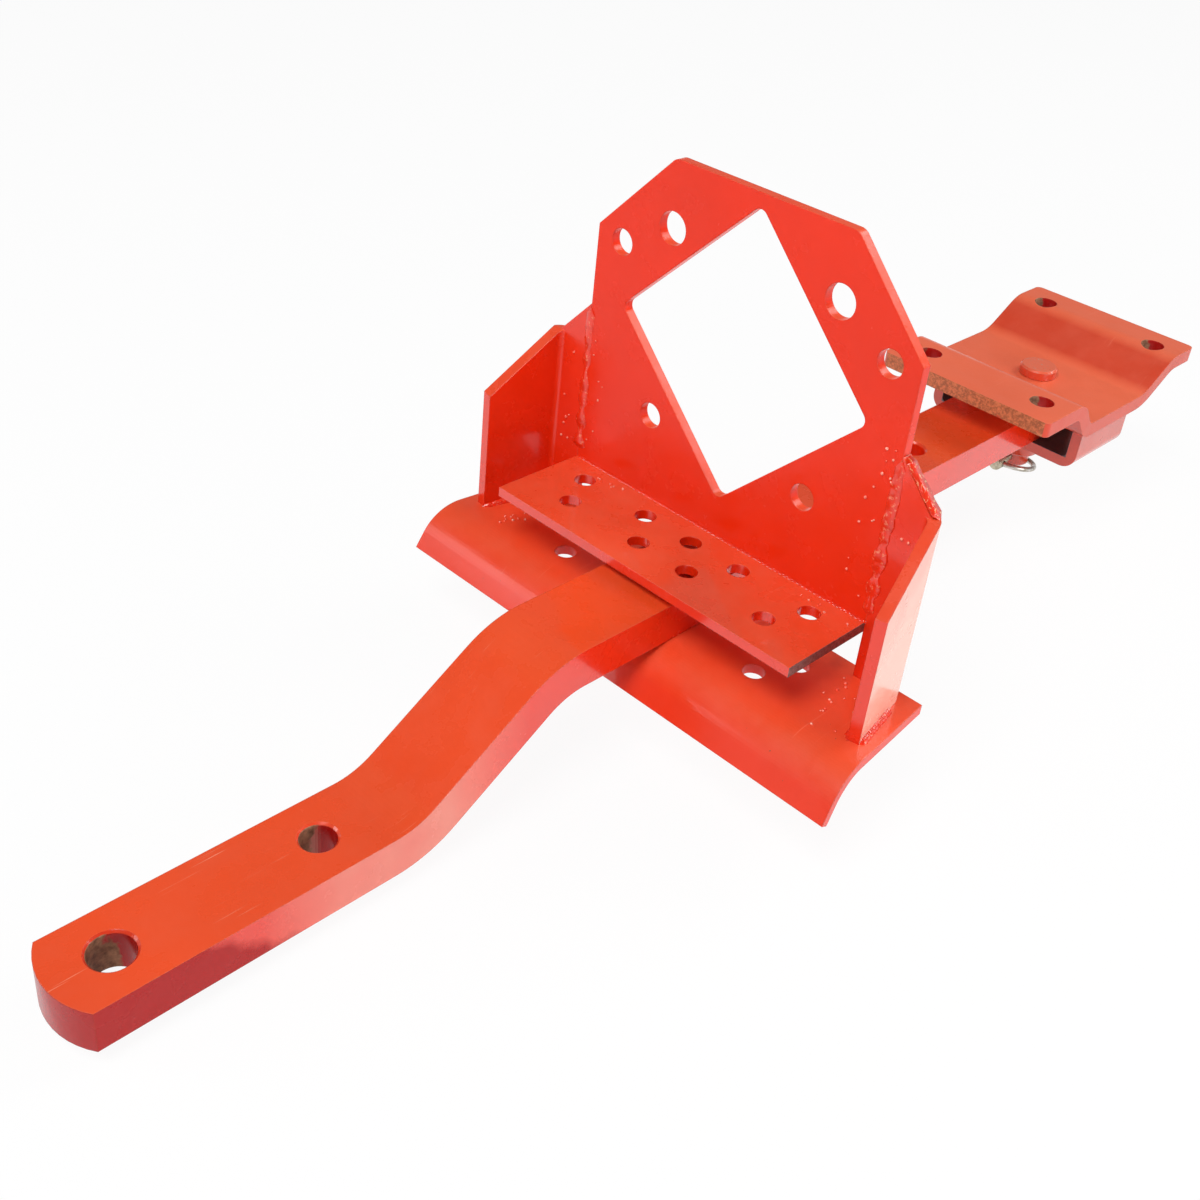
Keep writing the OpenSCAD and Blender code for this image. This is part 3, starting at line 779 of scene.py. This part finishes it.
def pin_axis_y():
    low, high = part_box("pivot_pin")
    return (low.y + high.y) / 2


def dress_front_plate(material, bolts):
    """The bracket's plate with the wide, soft bends of the pressed original."""
    low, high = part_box("front_plate")
    top = high.z - FRONT_THICK / 2
    mid = low.z + FRONT_THICK / 2
    corners = [Vector(c) for c in (
        (low.y, top), (low.y + NEAR_FLANGE, top), (low.y + NEAR_FLANGE + NEAR_STEP, mid),
        (high.y - FAR_FLANGE - FAR_STEP, mid), (high.y - FAR_FLANGE, top), (high.y, top))]
    bm = bmesh.new()
    bent_plate(bm, bent_line(corners, FRONT_BENDS), FRONT_THICK, high.x)
    plate = add_mesh("bracket_plate", bm, material)
    tools = [("INTERSECT", prism(rounded_corners(low, high, FRONT_CORNER), low.z, high.z)),
             ("DIFFERENCE", prism(circle(0, pin_axis_y(), PIN_BORE), low.z, high.z))]
    for (x, y, _), radius in bolts:
        tools.append(("DIFFERENCE", prism(circle(x, y, radius), low.z, high.z)))
    cut(plate, tools)
    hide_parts("front_plate")
    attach(plate, "mounting")


def dress_boss(material):
    """The boss that is welded under the strap round the pivot pin, with its small fillet bead."""
    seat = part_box("strap")[0].z
    top = seat + 0.2 * MM
    low = seat - BOSS_HIGH
    r = BOSS_R
    profile = [(0, low), (r - BOSS_ROUND, low), (r - 0.5 * MM, low + 0.4 * MM), (r, low + BOSS_ROUND),
               (r, top - 3 * MM), (r + 0.8 * MM, top - 1.4 * MM), (r + 2.6 * MM, top - 0.2 * MM),
               (r + BOSS_FILLET, top), (0, top)]
    bm = bmesh.new()
    lathe(bm, profile, pin_axis_y())
    obj = add_mesh("strap_boss", bm, material)
    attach(obj, "mounting")


def make_stage():
    """A white floor, low enough for the ring to swing down above it."""
    ring_low, ring_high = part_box("linch_ring")
    lowest = min(cad_box[0].z, ring_high.z - (ring_high.y - ring_low.y))
    mesh = bpy.data.meshes.new("floor")
    reach = FLOOR_REACH
    z = lowest - FLOOR_GAP
    mesh.from_pydata([(-reach, -reach, z), (reach, -reach, z), (reach, reach, z), (-reach, reach, z)], [],
                     [(0, 1, 2, 3)])
    floor = bpy.data.objects.new("floor", mesh)
    bpy.context.scene.collection.objects.link(floor)
    sh = Shader("floor_white")
    sh.finish(Base_Color=(FLOOR_GREY, FLOOR_GREY, FLOOR_GREY, 1.0), Roughness=0.9)
    path = sh.node("ShaderNodeLightPath")
    seen = sh.math("MAXIMUM", path.outputs["Is Camera Ray"], path.outputs["Is Glossy Ray"])
    seen = sh.math("MAXIMUM", seen, path.outputs["Is Transmission Ray"])
    white = sh.node("ShaderNodeEmission")
    white.inputs["Color"].default_value = (1.0, 1.0, 1.0, 1.0)
    mixed = sh.node("ShaderNodeMixShader")
    sh.link(sh.product(seen, FLOOR_SEEN), mixed.inputs[0])
    sh.link(sh.surface.outputs[0], mixed.inputs[1])
    sh.link(white.outputs[0], mixed.inputs[2])
    sh.link(mixed.outputs[0], sh.output.inputs[0])
    mesh.materials.append(sh.material)


def area_lamp(name, at, target, width, height, watts):
    data = bpy.data.lights.new(name, "AREA")
    data.shape = "RECTANGLE"
    data.size = width
    data.size_y = height
    data.energy = watts
    lamp = bpy.data.objects.new(name, data)
    lamp.location = at
    lamp.rotation_euler = (Vector(target) - Vector(at)).to_track_quat("-Z", "Y").to_euler()
    bpy.context.scene.collection.objects.link(lamp)


def make_light():
    """Soft lamps, and a world that is pale at the horizon and darker above."""
    world = bpy.data.worlds.new("studio")
    bpy.context.scene.world = world
    world.use_nodes = True
    tree = world.node_tree
    background = tree.nodes["Background"]
    background.inputs["Strength"].default_value = 1.0
    coord = tree.nodes.new("ShaderNodeTexCoord")
    split = tree.nodes.new("ShaderNodeSeparateXYZ")
    ramp = tree.nodes.new("ShaderNodeValToRGB")
    first, last = ramp.color_ramp.elements
    first.position = 0.0
    first.color = WORLD_LOW
    last.position = WORLD_TURN
    last.color = WORLD_HIGH
    tree.links.new(coord.outputs["Generated"], split.inputs[0])
    tree.links.new(split.outputs["Z"], ramp.inputs[0])
    tree.links.new(ramp.outputs[0], background.inputs["Color"])
    for name, lamp in LAMPS.items():
        area_lamp(name, *lamp)


def make_camera():
    az, el, roll = (math.radians(v) for v in (CAMERA_AZIMUTH, CAMERA_ELEVATION, CAMERA_ROLL))
    forward = Vector((-math.sin(az) * math.cos(el), math.cos(az) * math.cos(el), -math.sin(el)))
    right = forward.cross(Vector((0, 0, 1))).normalized()
    down = forward.cross(right)
    image_x = math.cos(roll) * right + math.sin(roll) * down
    image_y = -math.sin(roll) * right + math.cos(roll) * down
    data = bpy.data.cameras.new("camera")
    data.sensor_fit = "HORIZONTAL"
    data.sensor_width = SENSOR
    data.lens = CAMERA_LENS
    data.shift_y = CAMERA_SHIFT_Y
    data.clip_start = 0.05
    data.clip_end = 100.0
    camera = bpy.data.objects.new("camera", data)
    axes = Matrix((image_x, -image_y, -forward)).transposed()
    camera.matrix_world = Matrix.Translation(CAMERA_AT) @ axes.to_4x4()
    bpy.context.scene.collection.objects.link(camera)
    bpy.context.scene.camera = camera


bpy.context.scene.view_settings.view_transform = "Standard"
make_camera()
bracket_look, strap_look, bolt_holes = dress_nodes()
dress_front_plate(bracket_look, bolt_holes)
dress_boss(strap_look)
dress_welds()
dress_spatter()
make_stage()
make_light()
